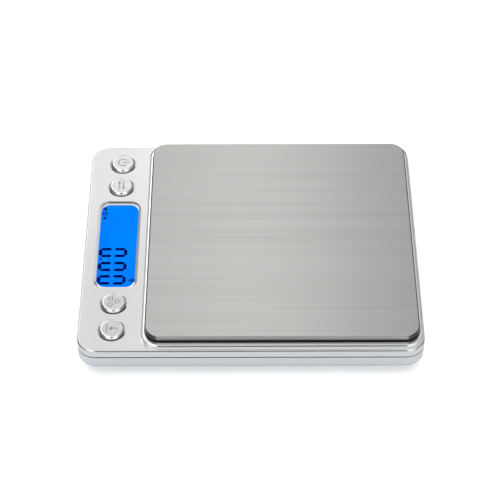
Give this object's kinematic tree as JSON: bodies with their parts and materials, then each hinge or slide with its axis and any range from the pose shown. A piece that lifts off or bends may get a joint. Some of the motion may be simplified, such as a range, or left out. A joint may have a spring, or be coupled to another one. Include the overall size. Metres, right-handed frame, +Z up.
{
  "type": "digital gram scale",
  "caption": "Flat pocket scale: satin silver two-part case, square brushed steel weighing pan on a bending-beam load cell, blue backlit display and round keys along one end.",
  "frame": {"origin": "on the table, at the centre of the case's footprint; the feet's bottom faces are at Z = 0", "axes": "+X along the case from the display end to the pan end, +Y from the front long side to the back long side, +Z up"},
  "size_m": [0.127, 0.106, 0.019],
  "materials": {
    "silver_casing": "satin silver paint",
    "brushed_steel_pan": "brushed along the length",
    "chrome_keys": "bright plated",
    "black_plastic": "matte",
    "clear_lens": "clear gloss",
    "blue_display": "backlit",
    "light_guide": "frosted",
    "rubber": "matte",
    "machined_aluminium": "machined",
    "silicone_coating": "soft sheen",
    "green_board": "solder mask",
    "nickel_contacts": "nickel plated",
    "zinc_screws": "zinc plated",
    "cell_jacket": "printed sleeve",
    "foam_tape": "matte",
    "red_wire": "insulation",
    "black_wire": "insulation",
    "grey_cable": "insulation"
  },
  "bodies": {
    "housing": {"lower_case": "silver_casing", "upper_case": "silver_casing", "foot_front_left": "rubber", "foot_front_right": "rubber", "foot_back_left": "rubber", "foot_back_right": "rubber", "case_screw_front_left": "zinc_screws", "case_screw_front_right": "zinc_screws", "case_screw_back_left": "zinc_screws", "case_screw_back_right": "zinc_screws", "load_cell": "machined_aluminium", "load_cell_base_spacer": "machined_aluminium", "gauge_coating_top": "silicone_coating", "gauge_coating_bottom": "silicone_coating", "load_cell_fixed_screw_1": "zinc_screws", "load_cell_fixed_screw_2": "zinc_screws", "overload_stop_screw": "zinc_screws", "load_cell_cable": "grey_cable", "window_lens": "clear_lens", "lcd_panel": "blue_display", "lcd_backlight": "light_guide", "lcd_connector_left": "black_plastic", "lcd_connector_right": "black_plastic", "circuit_board": "green_board", "controller_chip": "black_plastic", "crystal": "nickel_contacts", "filter_capacitor": "machined_aluminium", "board_screw_front": "zinc_screws", "board_screw_back": "zinc_screws", "power_switch": "nickel_contacts", "unit_switch": "nickel_contacts", "count_switch": "nickel_contacts", "tare_switch": "nickel_contacts", "cell_left": "cell_jacket", "cell_right": "cell_jacket", "contact_bridge": "nickel_contacts", "contact_positive": "nickel_contacts", "contact_negative": "nickel_contacts", "contact_spring_bridge": "nickel_contacts", "contact_spring_negative": "nickel_contacts", "battery_lead_positive": "red_wire", "battery_lead_negative": "black_wire"},
    "platform": {"weighing_pan": "brushed_steel_pan", "pan_support": "black_plastic", "pan_tape_left": "foam_tape", "pan_tape_right": "foam_tape", "load_cell_top_spacer": "machined_aluminium", "load_cell_free_screw_1": "zinc_screws", "load_cell_free_screw_2": "zinc_screws"},
    "battery_cover": {"battery_cover": "silver_casing"},
    "power_key": {"power_button": "chrome_keys", "power_switch_plunger": "black_plastic"},
    "unit_key": {"unit_button": "chrome_keys", "unit_switch_plunger": "black_plastic"},
    "count_key": {"count_button": "chrome_keys", "count_switch_plunger": "black_plastic"},
    "tare_key": {"tare_button": "chrome_keys", "tare_switch_plunger": "black_plastic"}
  },
  "joints": [
    {"name": "pan_deflection", "type": "slide", "parent": "housing", "child": "platform", "axis": [0, 0, -1], "range_m": [0, 0.0004], "stiffness_N_per_m": 73500, "deforming": ["load_cell"]},
    {"name": "power_key_press", "type": "slide", "parent": "housing", "child": "power_key", "axis": [0, 0, -1], "range_m": [0, 0.00035], "stiffness_N_per_m": 4500},
    {"name": "unit_key_press", "type": "slide", "parent": "housing", "child": "unit_key", "axis": [0, 0, -1], "range_m": [0, 0.00035], "stiffness_N_per_m": 4500},
    {"name": "count_key_press", "type": "slide", "parent": "housing", "child": "count_key", "axis": [0, 0, -1], "range_m": [0, 0.00035], "stiffness_N_per_m": 4500},
    {"name": "tare_key_press", "type": "slide", "parent": "housing", "child": "tare_key", "axis": [0, 0, -1], "range_m": [0, 0.00035], "stiffness_N_per_m": 4500},
    {"name": "battery_cover_tilt", "type": "hinge", "parent": "housing", "child": "battery_cover", "pos_m": [-0.0243, -0.03085, 0.0012], "axis": [-1, 0, 0], "range_deg": [0, 80]}
  ]
}
